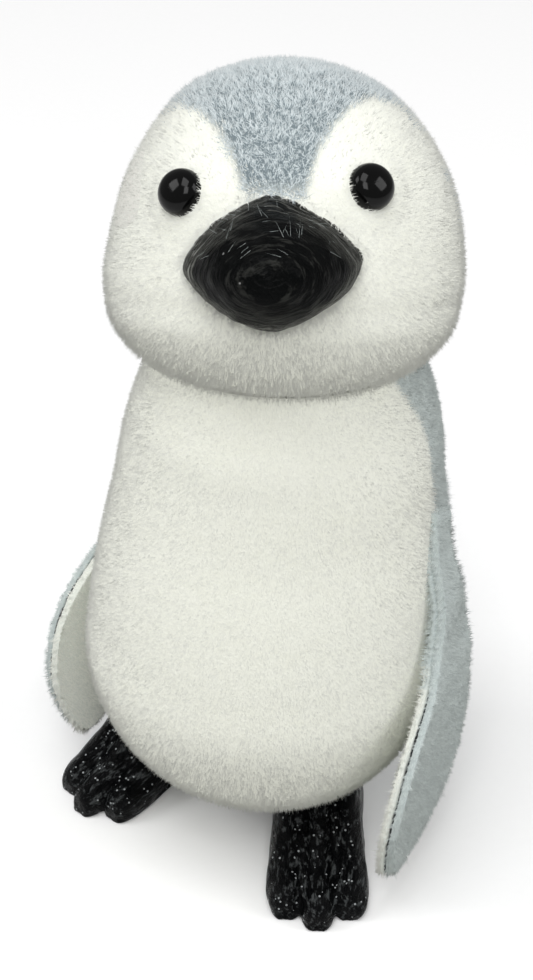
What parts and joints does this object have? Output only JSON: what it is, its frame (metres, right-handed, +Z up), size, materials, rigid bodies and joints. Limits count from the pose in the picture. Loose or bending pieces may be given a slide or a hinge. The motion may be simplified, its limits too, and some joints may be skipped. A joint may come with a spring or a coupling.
{
  "type": "penguin figurine",
  "caption": "Standing penguin chick figurine with pile-covered foam body, turning head, hinged flippers, glossy moulded beak, eyes and feet.",
  "frame": {"origin": "on the floor under the middle of the figure's footprint box", "axes": "+Z up, the belly faces -Y, the penguin's own left is +X"},
  "size_m": [0.0638, 0.0552, 0.1208],
  "materials": {
    "white_pile": "short dense pile, cream white",
    "grey_pile": "short dense pile, blue grey",
    "foam": "rigid light foam",
    "card": "dark stiff card",
    "felt": "thin felt",
    "neck_plastic": "turned plastic",
    "black_gloss": "black gloss paint",
    "eye_black": "polished black",
    "wire": "bent wire"
  },
  "bodies": {
    "torso": {"body_core": "foam", "belly_skin": "white_pile", "back_skin": "grey_pile", "base_disc": "card", "neck_sleeve": "neck_plastic", "neck_washer": "felt", "left_foot": "black_gloss", "right_foot": "black_gloss", "tail": "grey_pile", "left_shoulder_staple": "wire", "right_shoulder_staple": "wire"},
    "head": {"head_core": "foam", "face_skin": "white_pile", "crown_skin": "grey_pile", "beak": "black_gloss", "left_eye": "eye_black", "right_eye": "eye_black", "neck_post": "neck_plastic"},
    "left_flipper": {"left_flipper_outer": "grey_pile", "left_flipper_inner": "white_pile", "left_flipper_card": "card"},
    "right_flipper": {"right_flipper_outer": "grey_pile", "right_flipper_inner": "white_pile", "right_flipper_card": "card"}
  },
  "joints": [
    {"name": "neck_turn", "type": "hinge", "parent": "torso", "child": "head", "pos_m": [0.00451, -0.0045, 0.0771], "axis": [-0.2136, 0.3555, 0.91], "continuous": true},
    {"name": "left_flipper_lift", "type": "hinge", "parent": "torso", "child": "left_flipper", "pos_m": [0.02287, 0.00847, 0.057], "axis": [0.143, -0.9029, 0.4055], "range_deg": [0, 45]},
    {"name": "right_flipper_lift", "type": "hinge", "parent": "torso", "child": "right_flipper", "pos_m": [-0.02287, 0.00847, 0.057], "axis": [0.143, 0.9029, -0.4055], "range_deg": [0, 45]}
  ]
}
